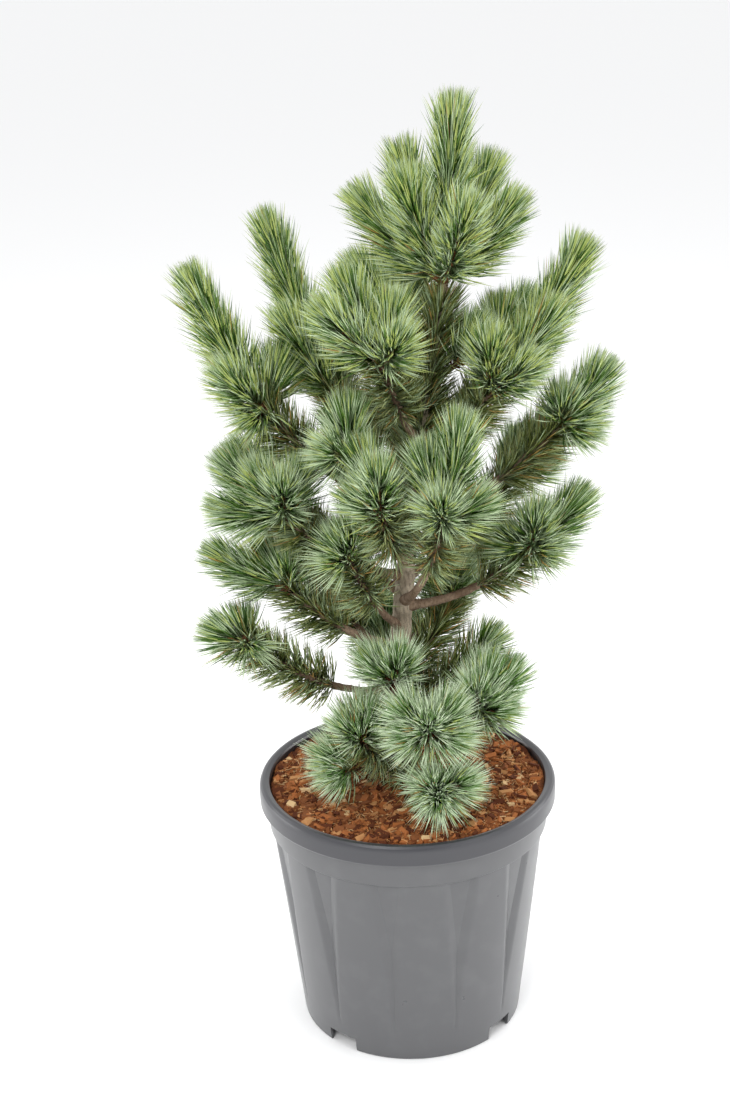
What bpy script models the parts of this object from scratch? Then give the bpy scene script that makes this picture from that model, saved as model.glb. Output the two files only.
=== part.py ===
# A japanese white pine about 0.7 m tall, growing in a fluted plastic nursery pot.
# Metres, +Z up. The origin is on the pot's axis at the level the pot stands on.
# A turn of 0 points along +X, and 270 points along -Y, the side that faces the viewer.

import math
import random
from collections import namedtuple

import bmesh
import bpy
import numpy as np
from mathutils import Matrix, Vector

CM = 0.01
UP = Vector((0.0, 0.0, 1.0))
CLEAR = 0.0003              # gap between two solids that touch

# Pot: a turned wall with a rolled rim, a plain collar and twelve wedge-shaped flutes
POT_HEIGHT = 0.270
RIM_RADIUS = 0.1533
CREST_RADIUS = 0.1472
RIM_DEPTH = 0.022
COLLAR_RADIUS = 0.1458
COLLAR_DEPTH = 0.028
BODY_RADIUS = 0.1412        # just under the collar
FOOT_RADIUS = 0.1160
WALL = 0.003
FLUTES = 12
FLUTE_TURN = 20.0           # degrees, where one flute has its middle
FLUTE_DEPTH = 0.0055
FLUTE_HALF = 7.8            # degrees, half a flute's width under the collar
FLUTE_FOOT = 0.032          # height at which a flute has run out
STEPS_A_FLUTE = 4
LIP_INSET = 0.0050          # the brim's inner edge, in from the crest and below it
LIP_DROP = 0.0040
FLOOR_TOP = 0.021
NOTCHES = 4
NOTCH_TURN = 50.0           # degrees
NOTCH_WIDTH = 0.034
NOTCH_HEIGHT = 0.016
NOTCH_REACH = 0.03          # in through the skirt
MERGE = 0.0001

# Compost fills the pot almost to its brim
COMPOST_TOP = 0.268
COMPOST_EDGE = 0.264
COMPOST_FLAT = 0.045        # radius of the level middle that the trunk stands on

# Trunk: nearly upright, then leaning to the right towards its fork
TRUNK_FOOT = Vector((-0.009, 0.006, COMPOST_TOP + CLEAR))
TRUNK_HEIGHT = 0.504
TRUNK_LEAN = 0.053
LEAN_POWER = 1.8
TRUNK_RADIUS = 0.0125       # above the flare
TRUNK_TIP_RADIUS = 0.0045
FLARE_RADIUS = 0.0190
FLARE_HEIGHT = 0.030
TRUNK_POINTS = 15

# Limbs and needles
BOUGH_SAG = 0.10            # dip at a bough's middle, as a share of its length
SHOOT_SAG = 0.05
BOUGH_STEPS = 4
BOUGH_TIP = 0.72            # a bough's tip radius as a share of its foot radius
SQUARE_END = 0.0025
STEM_RADIUS = 0.0030
CORE_RADIUS = 0.0056
BARE_SHOOT_RADIUS = 0.0024
NEEDLE = 0.045              # length of a fresh needle spray
OLD_NEEDLE = 0.036
NEEDLE_RADIUS = 0.0040      # of the room a needle spray needs near its root
NEEDLE_ROW = 0.021          # length of shoot that carries one ring of sprays
OLD_ROW = 3.0               # the same on older wood, in centimetres
NEW_LEANS = (40, 20)        # degrees off the shoot, at its foot and at its end
OLD_LEANS = (58, 44)
BARE_SHARE = 0.26           # of a long shoot, at its foot
LONG_STEM = 0.05
SHOOT_TWIST = 0.4           # radians from one ring of sprays to the next
AHEAD = 0.034               # how far needles reach past the end of their shoot
SHORTEST_STEM = 0.011
ROOM = 0.0006               # least gap between needles of different masses
ABOVE_RIM = 0.002           # needles stay this far over the brim, or beside it
BESIDE_RIM = 0.004

# A bough leaves the trunk at a height above the compost, in a direction given by its turn and
# rise, and its length runs to the whorl where its shoots start. Its bare share is the bough's own
# node, and the rest is the stem of its needle mass. Where that share is 0, the stem meets the
# trunk itself. A shoot is its turn, its rise and its length to the tips of its needles.
# Lengths and heights are in centimetres, radii in millimetres, angles in degrees.
Bough = namedtuple("Bough", "height turn rise length bare radius old shoots")

BOUGHS = {
    "high_left": Bough(28.5, 187, 40, 18.0, 0.52, 5.0, 5, (
        (172, 62, 16.0), (220, 42, 8.5), (65, 61, 7.0), (246, -12, 5.5))),
    "high_back_left": Bough(31.0, 148, 44, 12.0, 0.50, 4.5, 3, (
        (157, 68, 20.0), (208, 58, 12.0), (97, 66, 10.0))),
    "high_front": Bough(36.0, 242, 51, 12.0, 0.45, 4.5, 4, (
        (180, 68, 10.5), (213, 44, 10.5), (323, 76, 8.0), (291, 36, 8.0))),
    "high_right": Bough(34.5, 347, 43, 10.0, 0.45, 5.0, 3, (
        (22, 52, 17.5), (351, 52, 11.5), (70, 60, 10.0), (261, 56, 9.0), (310, 33, 8.0))),
    "right": Bough(27.8, 2, 32, 17.5, 0.55, 5.0, 5, (
        (0, 51, 8.5), (262, 59, 6.0), (314, -4, 5.5), (42, 12, 6.0))),
    "low_right": Bough(18.8, 348, 27, 14.5, 0.55, 4.5, 4, (
        (0, 48, 9.0), (271, 59, 7.5), (198, 20, 6.0), (302, 5, 5.0))),
    "front": Bough(19.4, 286, 44, 18.0, 0.60, 4.5, 5, (
        (334, 79, 11.5), (200, 74, 9.0), (262, 36, 8.0), (336, 32, 6.5))),
    "front_left": Bough(23.8, 258, 36, 14.5, 0.50, 4.5, 5, (
        (170, 74, 8.5), (208, 41, 6.0), (262, 58, 8.5))),
    "left": Bough(22.0, 202, 34, 15.0, 0.50, 4.5, 5, (
        (180, 46, 9.5), (224, 56, 8.0), (337, 67, 7.0), (202, 12, 8.5), (272, 45, 8.5))),
    "low_left": Bough(14.4, 192, 34, 13.5, 0.45, 4.5, 5, (
        (187, 29, 10.0), (149, 53, 6.5), (284, 69, 6.0))),
    "lowest_left": Bough(9.4, 202, 28, 18.0, 0.40, 4.0, 5, (
        (192, 22, 5.5), (125, 53, 4.5), (289, 0, 4.5))),
    "inner_front_left": Bough(16.5, 233, 50, 13.0, 0.45, 4.0, 3, (
        (209, 63, 5.0), (297, 59, 6.5), (232, 11, 5.0))),
    "inner_left": Bough(26.2, 237, 48, 15.0, 0.0, 3.5, 4, (
        (180, 86, 6.5), (232, 20, 6.0))),
    "inner_right": Bough(10.5, 36, 46, 10.0, 0.0, 3.5, 3, (
        (158, 50, 5.0), (25, 57, 5.0), (290, 64, 7.5))),
    "lower_right": Bough(8.0, 6, 31, 9.0, 0.0, 3.2, 3, (
        (0, 46, 5.0), (316, -8, 5.0))),
    "lowest_right": Bough(3.6, 330, 30, 11.0, 0.50, 3.5, 4, (
        (0, 53, 7.5), (314, 79, 7.5), (253, 54, 7.5), (317, 17, 5.5))),
    "lowest_front": Bough(4.2, 286, 27, 11.5, 0.45, 3.5, 0, (
        (268, 42, 7.0), (316, 50, 7.0), (214, 48, 7.0), (318, 6, 6.0), (226, 6, 6.0))),
    "foot_left": Bough(2.4, 236, 32, 8.0, 0.0, 3.2, 2, (
        (267, 80, 6.0), (228, 48, 6.0), (305, 62, 7.0))),
    "foot_front_left": Bough(1.2, 228, 18, 7.0, 0.0, 3.0, 0, (
        (212, 35, 6.5), (232, 8, 6.0))),
    "foot_front": Bough(1.3, 292, 9, 10.0, 0.0, 3.0, 2, (
        (318, 26, 6.5), (268, 2, 6.5), (248, 34, 6.0))),
    "inner_low": Bough(9.6, 262, 30, 4.5, 0.0, 3.0, 0, (
        (212, 52, 7.0), (288, 60, 7.0))),
    "high_back": Bough(37.0, 104, 48, 12.0, 0.45, 4.5, 4, (
        (92, 58, 11.0), (50, 46, 9.0), (150, 50, 9.0))),
    "back_left": Bough(30.0, 124, 34, 15.0, 0.50, 4.5, 5, (
        (134, 56, 10.0), (180, 40, 8.0), (92, 46, 8.0))),
    "back_right": Bough(32.0, 44, 36, 14.5, 0.50, 4.5, 5, (
        (42, 54, 10.0), (4, 38, 8.0), (84, 48, 8.5))),
    "back": Bough(24.5, 88, 32, 14.5, 0.50, 4.5, 5, (
        (94, 48, 9.0), (50, 30, 7.5), (138, 32, 7.5), (270, 80, 7.0))),
    "mid_back_left": Bough(20.5, 150, 28, 15.5, 0.50, 4.5, 5, (
        (152, 44, 9.0), (196, 24, 6.5), (112, 30, 7.5))),
    "mid_back_right": Bough(22.0, 36, 28, 15.5, 0.50, 4.5, 5, (
        (30, 46, 9.0), (350, 26, 6.5), (72, 30, 7.5))),
    "low_back_left": Bough(12.5, 128, 26, 14.0, 0.45, 4.0, 5, (
        (134, 40, 8.0), (90, 34, 7.0), (176, 24, 6.5))),
    "low_back_right": Bough(14.0, 56, 24, 14.0, 0.45, 4.0, 5, (
        (52, 40, 8.0), (96, 30, 7.0), (12, 24, 6.5))),
    "lowest_back": Bough(5.0, 94, 26, 11.0, 0.45, 3.5, 4, (
        (96, 44, 7.5), (46, 26, 6.5), (146, 26, 6.5))),
    "upper_trunk": Bough(43.0, 200, 30, 3.0, 0.0, 3.0, 0, (
        (206, 58, 6.5), (150, 40, 6.0))),
    "upper_trunk_right": Bough(42.0, 350, 30, 3.0, 0.0, 3.0, 0, (
        (338, 58, 6.5), (60, 40, 6.0))),
}

# The fork at the trunk's top: the leader in the middle, with six shoots round it
CROWN = Bough(50.4, 0, 89, 0.9, 0.0, 3.8, 0, (
    (0, 86, 18.0), (121, 59, 15.0), (44, 56, 14.0), (219, 65, 13.0), (170, 45, 13.0),
    (286, 48, 13.0), (349, 47, 12.0)))

# Colour, roughness, metallic
POT_FINISH = ((0.075, 0.077, 0.083), 0.45, 0.0)
COMPOST_FINISH = ((0.16, 0.065, 0.028), 0.95, 0.0)
BARK_FINISH = ((0.30, 0.235, 0.18), 0.85, 0.0)
NEEDLE_FINISH = ((0.16, 0.27, 0.14), 0.55, 0.0)


def clear_scene():
    for item in list(bpy.data.objects):
        bpy.data.objects.remove(item, do_unlink=True)


def collection(name):
    made = bpy.data.collections.new(name)
    bpy.context.scene.collection.children.link(made)
    return made


def material(name, finish):
    colour, roughness, metallic = finish
    made = bpy.data.materials.new(name)
    made.use_nodes = True
    shader = made.node_tree.nodes["Principled BSDF"]
    shader.inputs["Base Color"].default_value = (*colour, 1.0)
    shader.inputs["Roughness"].default_value = roughness
    shader.inputs["Metallic"].default_value = metallic
    return made


def heading(turn, rise):
    turn, rise = math.radians(turn), math.radians(rise)
    return Vector((math.cos(turn) * math.cos(rise), math.sin(turn) * math.cos(rise), math.sin(rise)))


# Shapes

def evaluated_mesh(item):
    return bpy.data.meshes.new_from_object(item.evaluated_get(bpy.context.evaluated_depsgraph_get()))


def tube(name, points, radii, group, sides_step=1, tilt=0.0):
    """A round limb through its points, with a radius at each: 4 sides and 2 more a step."""
    curve = bpy.data.curves.new(name, "CURVE")
    curve.dimensions = "3D"
    curve.bevel_depth = 1.0
    curve.bevel_resolution = sides_step
    curve.use_fill_caps = True
    spline = curve.splines.new("POLY")
    spline.points.add(len(points) - 1)
    for k, (knot, point, radius) in enumerate(zip(spline.points, points, radii)):
        knot.co = (*point, 1.0)
        knot.radius = radius
        knot.tilt = k * tilt
    guide = bpy.data.objects.new(name + "_curve", curve)
    group.objects.link(guide)
    mesh = evaluated_mesh(guide)
    bpy.data.objects.remove(guide, do_unlink=True)
    bpy.data.curves.remove(curve)
    shape = bmesh.new()
    shape.from_mesh(mesh)
    bmesh.ops.remove_doubles(shape, verts=shape.verts, dist=0.00001)
    bmesh.ops.recalc_face_normals(shape, faces=shape.faces)
    shape.to_mesh(mesh)
    shape.free()
    item = bpy.data.objects.new(name, mesh)
    group.objects.link(item)
    return item


def boolean(item, operation, solver, other=None, group=None):
    """Cuts or joins a mesh with one object or with a collection, and applies it."""
    change = item.modifiers.new("boolean", "BOOLEAN")
    change.operation = operation
    change.solver = solver
    if group:
        change.operand_type = "COLLECTION"
        change.collection = group
    else:
        change.object = other
    mesh = evaluated_mesh(item)
    item.modifiers.remove(change)
    item.data = mesh


def signed_volume(faces):
    total = 0.0
    for face in faces:
        corners = [vertex.co for vertex in face.verts]
        for second, third in zip(corners[1:-1], corners[2:]):
            total += corners[0].dot(second.cross(third)) / 6
    return total


def keep_largest_shell(item):
    """Drops loose scraps and the inner skin of any hollow that fusing has sealed."""
    shape = bmesh.new()
    shape.from_mesh(item.data)
    unseen = set(shape.faces)
    shells = []
    while unseen:
        shell = {unseen.pop()}
        front = list(shell)
        while front:
            near = {f for edge in front.pop().edges for f in edge.link_faces} & unseen
            unseen -= near
            shell |= near
            front.extend(near)
        shells.append(shell)
    largest = max(shells, key=signed_volume)
    scraps = [face for face in shape.faces if face not in largest]
    bmesh.ops.delete(shape, geom=scraps, context="FACES")
    bmesh.ops.triangulate(shape, faces=shape.faces)
    shape.to_mesh(item.data)
    shape.free()


# Room: every limb and needle spray is kept as a tapering segment with its owner's name

class Room:
    """Knows the space already taken, and says whether a new segment is clear of it."""

    def __init__(self):
        self.owners = []
        self.starts = []
        self.ends = []
        self.radii = []

    def take(self, owner, start, end, start_radius, end_radius):
        self.owners.append(owner)
        self.starts.append(tuple(start))
        self.ends.append(tuple(end))
        self.radii.append((start_radius, end_radius))

    def is_clear(self, owner, start, end, start_radius, end_radius):
        others = [k for k, name in enumerate(self.owners) if name != owner]
        if not others:
            return True
        starts = np.array(self.starts)[others]
        ends = np.array(self.ends)[others]
        radii = np.array(self.radii)[others]
        distance, along, along_other = segment_distances(np.array(start), np.array(end), starts, ends)
        reach = start_radius + (end_radius - start_radius) * along
        reach += radii[:, 0] + (radii[:, 1] - radii[:, 0]) * along_other
        return bool((distance - reach).min() > ROOM)


def segment_distances(start, end, starts, ends):
    """Closest distance from one segment to each of many, and where along both it lies."""
    run, runs, offset = end - start, ends - starts, start - starts
    a = run @ run
    e = (runs * runs).sum(1)
    f = (runs * offset).sum(1)
    c = offset @ run
    b = runs @ run
    spread = a * e - b * b
    along = np.where(spread > 1e-12, (b * f - c * e) / np.maximum(spread, 1e-12), 0.0).clip(0, 1)
    other = ((b * along + f) / e).clip(0, 1)
    along = ((b * other - c) / a).clip(0, 1)
    nearest = start + along[:, None] * run
    nearest_other = starts + other[:, None] * runs
    return np.linalg.norm(nearest - nearest_other, axis=1), along, other


# Pot and compost

def flute_share(height):
    """How far a flute is open: 1 under the collar, nearly shut at its foot, 0 elsewhere."""
    top = POT_HEIGHT - RIM_DEPTH - COLLAR_DEPTH
    if height > top + 0.0005 or height < FLUTE_FOOT - 0.0005:
        return 0.0
    return max(0.1, (height - FLUTE_FOOT) / (top - FLUTE_FOOT))


def turned(name, profile, group):
    """Turns a profile of radius and height, and presses the flutes into the rows they reach."""
    mesh = bpy.data.meshes.new(name)
    points = [(radius, 0.0, height) for radius, height in profile]
    edges = [(k, k + 1) for k in range(len(points) - 1)]
    if profile[0][0] > 0:
        edges.append((len(points) - 1, 0))
    mesh.from_pydata(points, edges, [])
    item = bpy.data.objects.new(name, mesh)
    group.objects.link(item)
    screw = item.modifiers.new("turn", "SCREW")
    screw.steps = screw.render_steps = FLUTES * STEPS_A_FLUTE
    screw.use_merge_vertices = True
    screw.merge_threshold = MERGE
    item.data = evaluated_mesh(item)
    item.modifiers.clear()
    shape = bmesh.new()
    shape.from_mesh(item.data)
    bmesh.ops.remove_doubles(shape, verts=shape.verts, dist=MERGE)
    bmesh.ops.recalc_face_normals(shape, faces=shape.faces)
    step = 360.0 / (FLUTES * STEPS_A_FLUTE)
    for vertex in shape.verts:
        radius = vertex.co.xy.length
        if radius < FOOT_RADIUS * 0.9:
            continue
        column = round(math.degrees(math.atan2(vertex.co.y, vertex.co.x)) / step)
        place = (column + 1) % STEPS_A_FLUTE - 1
        share = flute_share(vertex.co.z)
        turn = column * step + FLUTE_TURN
        if share > 0 and abs(place) == 1:
            turn -= place * (step - FLUTE_HALF * share)
        elif place == 0:
            radius -= FLUTE_DEPTH * share
        vertex.co.x = radius * math.cos(math.radians(turn))
        vertex.co.y = radius * math.sin(math.radians(turn))
    shape.to_mesh(item.data)
    shape.free()
    return item


def pot_wall():
    """Outer rows of the pot from the inside of the brim over the roll and down to the foot."""
    under_rim = POT_HEIGHT - RIM_DEPTH
    collar_foot = under_rim - COLLAR_DEPTH
    flute_radius = FOOT_RADIUS + (BODY_RADIUS - FOOT_RADIUS) * FLUTE_FOOT / collar_foot
    return [
        (CREST_RADIUS - LIP_INSET, POT_HEIGHT - LIP_DROP),
        (CREST_RADIUS - 0.0020, POT_HEIGHT - 0.0008),
        (CREST_RADIUS + 0.0012, POT_HEIGHT),
        (RIM_RADIUS - 0.0012, POT_HEIGHT - 0.0030),
        (RIM_RADIUS, POT_HEIGHT - 0.0090),
        (RIM_RADIUS - 0.0004, under_rim),
        (COLLAR_RADIUS, under_rim),
        (COLLAR_RADIUS - 0.0022, collar_foot + 0.0008),
        (BODY_RADIUS, collar_foot),
        (flute_radius, FLUTE_FOOT),
        (FOOT_RADIUS, 0.0),
    ]


def inner_rows():
    """Inside of the wall, from the foot of the filling up to the brim."""
    collar_foot = POT_HEIGHT - RIM_DEPTH - COLLAR_DEPTH
    slope = (BODY_RADIUS - FOOT_RADIUS) / collar_foot
    return [
        (FOOT_RADIUS + slope * FLOOR_TOP - WALL, FLOOR_TOP),
        (FOOT_RADIUS + slope * FLUTE_FOOT - WALL, FLUTE_FOOT),
        (BODY_RADIUS - WALL, collar_foot),
    ]


def make_pot(group, cutters):
    floor_under = FLOOR_TOP - WALL
    slope = inner_rows()[0][0] - FOOT_RADIUS + WALL
    skirt = [(FOOT_RADIUS - WALL, 0.0), (FOOT_RADIUS - WALL + slope * 0.8, floor_under), (0.0, floor_under)]
    profile = [(0.0, FLOOR_TOP)] + inner_rows() + pot_wall() + skirt
    pot = turned("pot", profile, group)
    for k in range(NOTCHES):
        turn = math.radians(NOTCH_TURN + k * 360.0 / NOTCHES)
        bpy.ops.mesh.primitive_cube_add(size=1.0)
        notch = bpy.context.object
        notch.name = f"notch_{k}"
        notch.scale = (NOTCH_REACH, NOTCH_WIDTH, NOTCH_HEIGHT * 2)
        notch.rotation_euler.z = turn
        notch.location = (FOOT_RADIUS * math.cos(turn), FOOT_RADIUS * math.sin(turn), 0.0)
        for owner in list(notch.users_collection):
            owner.objects.unlink(notch)
        cutters.objects.link(notch)
        bpy.context.view_layer.update()
        boolean(pot, "DIFFERENCE", "EXACT", other=notch)
        notch.hide_render = True
        notch.display_type = "WIRE"
    pot.data.materials.append(material("pot_plastic", POT_FINISH))
    return pot


def make_compost(group):
    rows = [(radius - CLEAR, height) for radius, height in inner_rows()]
    rows[0] = (rows[0][0], FLOOR_TOP + CLEAR)
    brim = CREST_RADIUS - LIP_INSET - CLEAR
    rise = (COMPOST_EDGE - rows[-1][1]) / (POT_HEIGHT - LIP_DROP - rows[-1][1])
    edge = rows[-1][0] + (brim - rows[-1][0]) * rise - CLEAR
    middle = (edge + COMPOST_FLAT) / 2
    rows += [(edge, COMPOST_EDGE), (middle, (COMPOST_EDGE + COMPOST_TOP * 2) / 3),
             (COMPOST_FLAT, COMPOST_TOP), (0.0, COMPOST_TOP)]
    compost = turned("compost", [(0.0, FLOOR_TOP + CLEAR)] + rows, group)
    compost.data.materials.append(material("compost_fibre", COMPOST_FINISH))
    return compost


# Trunk and boughs

def trunk_point(height):
    share = height / TRUNK_HEIGHT
    return TRUNK_FOOT + Vector((TRUNK_LEAN * share ** LEAN_POWER, 0.0, height))


def trunk_radius(height):
    share = height / TRUNK_HEIGHT
    radius = TRUNK_RADIUS + (TRUNK_TIP_RADIUS - TRUNK_RADIUS) * share
    flare = max(0.0, 1 - height / FLARE_HEIGHT) ** 2
    return radius + (FLARE_RADIUS - TRUNK_RADIUS) * flare


def trunk_heights():
    """Close together in the flare, then even up to the tip."""
    flare = [0.0, 0.3, 0.65, 1.0]
    above = TRUNK_POINTS - len(flare)
    heights = [share * FLARE_HEIGHT for share in flare]
    return heights + [FLARE_HEIGHT + (TRUNK_HEIGHT - FLARE_HEIGHT) * (k + 1) / above for k in range(above)]


def make_trunk(group, extra=0.0, name="trunk"):
    heights = trunk_heights()
    heights.insert(1, 0.0008)                    # keeps the cut at the compost level
    points = [TRUNK_FOOT + UP * height for height in heights[:2]]
    points += [trunk_point(height) for height in heights[2:]]
    radii = [trunk_radius(height) + extra for height in heights]
    return tube(name, points, radii, group, sides_step=3)


def bough_point(bough, share):
    start = trunk_point(bough.height * CM)
    length = bough.length * CM
    run = heading(bough.turn, bough.rise) * length
    return start + run * share - UP * (BOUGH_SAG * length * 4 * share * (1 - share))


def bough_radius(bough, share):
    return bough.radius / 1000 * (1 + (BOUGH_TIP - 1) * share)


def make_bough(name, bough, group, trunk_cutter, room):
    shares = [bough.bare * k / BOUGH_STEPS for k in range(BOUGH_STEPS + 1)]
    points = [bough_point(bough, share) for share in shares]
    radii = [bough_radius(bough, share) for share in shares]
    limb = tube("bough_" + name, points, radii, group)
    boolean(limb, "DIFFERENCE", "EXACT", other=trunk_cutter)
    keep_largest_shell(limb)
    limb.data.materials.append(material("bark_" + name, BARK_FINISH))
    for first, second, r1, r2 in zip(points, points[1:], radii, radii[1:]):
        room.take("bough_" + name, first, second, r1, r2)
    return limb


# Needle masses

# A twig has its line, a radius at each point, the stretches that carry needles, the lean of the
# needles at its foot and at its end, their length, and whether some stand ahead of its end.
Twig = namedtuple("Twig", "points radii rows leans needle ahead")


def stem_of(bough):
    """The part of a bough's line that its needle mass takes over, up to the whorl."""
    bare_end = bough_radius(bough, bough.bare)
    thick = CORE_RADIUS if bough.old else bare_end
    count = max(2, min(4, round(bough.length * (1 - bough.bare) / OLD_ROW)))
    shares = [bough.bare + (1 - bough.bare) * k / count for k in range(count + 1)]
    points = [bough_point(bough, share) for share in shares]
    radii = [bare_end] + [thick] * (count - 1) + [STEM_RADIUS]
    before = None
    if bough.bare:
        before = bough_point(bough, bough.bare * (1 - 1 / BOUGH_STEPS))
    elif bough is CROWN:
        before = trunk_point(trunk_heights()[-2])
    if before:
        # Square to the limb's end for a little way, so that the two cuts stay apart
        onward = (points[0] - before).normalized()
        points[0:1] = [points[0] + onward * CLEAR, points[0] + onward * SQUARE_END]
        radii.insert(0, bare_end)
    rows = range(1, len(points) - 1) if bough.old else ()
    return Twig(points, radii, rows, OLD_LEANS, OLD_NEEDLE, False)


def shoot_of(whorl, turn, rise, length):
    """A shoot's own twig: bare at its foot, then the slim core that its needles stand out of."""
    stem = max(length * CM - AHEAD, SHORTEST_STEM)
    run = heading(turn, rise) * stem
    bare = BARE_SHARE if stem > LONG_STEM else BARE_SHARE / 2
    count = max(2, min(5, round(stem * (1 - bare) / NEEDLE_ROW)))
    shares = [0.0] + [bare + (1 - bare) * k / count for k in range(count + 1)]
    sag = SHOOT_SAG * stem * 4
    points = [whorl + run * share - UP * (sag * share * (1 - share)) for share in shares]
    radii = [BARE_SHOOT_RADIUS] + [CORE_RADIUS] * count + [CORE_RADIUS * 0.8]
    return Twig(points, radii, range(1, count + 1), NEW_LEANS, NEEDLE, True)


def stretches(twig):
    return list(zip(twig.points, twig.points[1:], twig.radii, twig.radii[1:]))


def above_pot(point):
    """Needles stay off the compost and over the rim."""
    return point.z > POT_HEIGHT + ABOVE_RIM or point.xy.length > RIM_RADIUS + BESIDE_RIM


def has_room(room, owner, root, tip, half):
    """A needle spray is tried across its foot, twice across its blade, and up to its tip."""
    stages = []
    for share, width in ((0.15, 1.0), (0.4, 0.8), (0.65, 0.5)):
        radius = NEEDLE_RADIUS * width
        stages.append(((root - half).lerp(tip, share), (root + half).lerp(tip, share), radius, radius))
    stages.append((root.lerp(tip, 0.12), root.lerp(tip, 0.5), NEEDLE_RADIUS, NEEDLE_RADIUS / 2))
    stages.append((root.lerp(tip, 0.5), tip, NEEDLE_RADIUS / 2, 0.0))
    if not above_pot(tip) or not all(room.is_clear(owner, *stage) for stage in stages):
        return False
    for stage in stages:
        room.take(owner, *stage)
    return True


def bristle(item, twig, owner, room, chance):
    """Draws each face of a twig's core out to a point, which is one spray of needles."""
    shape = bmesh.new()
    shape.from_mesh(item.data)
    middles = [first.lerp(second, 0.5) for first, second, _, _ in stretches(twig)]
    order = sorted(shape.faces, key=lambda face: tuple(round(k, 6) for k in face.calc_center_median()))
    for place, face in enumerate(order):
        centre = face.calc_center_median()
        row = min(range(len(middles)), key=lambda k: (middles[k] - centre).length)
        first, second = twig.points[row], twig.points[row + 1]
        axis = (second - first).normalized()
        half = (second - first) / 2
        if abs(face.normal.dot(axis)) > 0.8:
            at_end = (centre - twig.points[-1]).length < CORE_RADIUS / 2
            tip = centre + axis * AHEAD if twig.ahead and at_end else None
            half = face.verts[0].co - centre
        elif row in twig.rows and (twig.ahead or place % 2):
            share = (row - twig.rows[0]) / max(1, len(twig.rows) - 1)
            lean = math.radians(twig.leans[0] + (twig.leans[1] - twig.leans[0]) * share + chance.uniform(-4, 4))
            outward = Matrix.Rotation(chance.uniform(-0.25, 0.25), 3, axis) @ face.normal
            outward = (outward - axis * outward.dot(axis)).normalized()
            reach = twig.needle * chance.uniform(0.93, 1.04)
            tip = centre + (axis * math.cos(lean) + outward * math.sin(lean)) * reach
        else:
            tip = None
        if tip and has_room(room, owner, centre, tip, half):
            drawn = bmesh.ops.poke(shape, faces=[face])
            drawn["verts"][0].co = tip
    shape.to_mesh(item.data)
    shape.free()


def make_mass(name, bough, twigs, group, loose, trunk_cutter, room, chance):
    """Joins a mass's stem and its bristling shoots with one union, then frees it of the trunk."""
    owner = "needles_" + name
    stem = tube(owner, twigs[0].points, twigs[0].radii, group, sides_step=1)
    bristle(stem, twigs[0], owner, room, chance)
    for k, twig in enumerate(twigs[1:]):
        shoot = tube(f"shoot_{name}_{k}", twig.points, twig.radii, loose, sides_step=0, tilt=SHOOT_TWIST)
        bristle(shoot, twig, owner, room, chance)
    boolean(stem, "UNION", "MANIFOLD", group=loose)
    if not bough.bare and bough is not CROWN:
        boolean(stem, "DIFFERENCE", "MANIFOLD", other=trunk_cutter)
    keep_largest_shell(stem)
    for item in list(loose.objects):
        bpy.data.objects.remove(item, do_unlink=True)
    stem.data.materials.append(material(owner, NEEDLE_FINISH))


def main():
    clear_scene()
    parts = collection("white_pine_in_pot")
    cutters = collection("cutters")
    loose = collection("loose_shoots")
    chance = random.Random(11)
    room = Room()

    make_pot(parts, cutters)
    make_compost(parts)
    trunk = make_trunk(parts)
    trunk.data.materials.append(material("trunk_bark", BARK_FINISH))
    trunk_cutter = make_trunk(cutters, extra=CLEAR * 1.3, name="trunk_room")
    trunk_cutter.hide_render = True
    trunk_cutter.display_type = "WIRE"
    heights = trunk_heights()
    for low, high in zip(heights, heights[1:]):
        room.take("trunk", trunk_point(low), trunk_point(high), trunk_radius(low), trunk_radius(high))
    for name, bough in BOUGHS.items():
        if bough.bare:
            make_bough(name, bough, parts, trunk_cutter, room)

    masses = dict(BOUGHS, crown=CROWN)
    twigs = {name: [stem_of(bough)] for name, bough in masses.items()}
    for name, stems in twigs.items():
        for stretch in stretches(stems[0]):
            room.take("needles_" + name, *stretch)
    for name, bough in masses.items():
        for turn, rise, length in bough.shoots:
            shoot = shoot_of(twigs[name][0].points[-1], turn, rise, length)
            if all(room.is_clear("needles_" + name, *stretch) for stretch in stretches(shoot)):
                twigs[name].append(shoot)
                for stretch in stretches(shoot):
                    room.take("needles_" + name, *stretch)
            else:
                print("no room for a shoot of", name, turn, rise, length)
    for name, bough in masses.items():
        make_mass(name, bough, twigs[name], parts, loose, trunk_cutter, room, chance)
    bpy.data.collections.remove(loose)


main()
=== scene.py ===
# Young japanese white pine in a fluted nursery pot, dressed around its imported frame.
# Metres, +Z up, the origin under the pot on its axis, -Y towards the viewer.
import math
import random
from collections import namedtuple

import bmesh
import bpy
import numpy as np
from mathutils import Matrix, Vector, noise


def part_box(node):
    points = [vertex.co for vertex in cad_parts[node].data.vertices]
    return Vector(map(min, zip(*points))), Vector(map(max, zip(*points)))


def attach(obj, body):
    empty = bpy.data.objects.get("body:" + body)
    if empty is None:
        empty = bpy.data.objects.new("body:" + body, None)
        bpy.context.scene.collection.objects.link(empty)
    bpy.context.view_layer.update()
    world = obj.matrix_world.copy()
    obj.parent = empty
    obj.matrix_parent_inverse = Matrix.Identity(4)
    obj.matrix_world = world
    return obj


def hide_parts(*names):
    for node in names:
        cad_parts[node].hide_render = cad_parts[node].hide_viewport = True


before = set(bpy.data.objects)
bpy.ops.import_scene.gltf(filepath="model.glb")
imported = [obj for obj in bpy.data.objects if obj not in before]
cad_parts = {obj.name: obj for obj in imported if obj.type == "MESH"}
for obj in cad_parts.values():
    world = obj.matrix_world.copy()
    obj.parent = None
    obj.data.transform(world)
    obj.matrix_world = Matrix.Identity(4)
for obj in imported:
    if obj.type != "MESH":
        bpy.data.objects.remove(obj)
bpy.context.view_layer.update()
seed = 23
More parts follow.
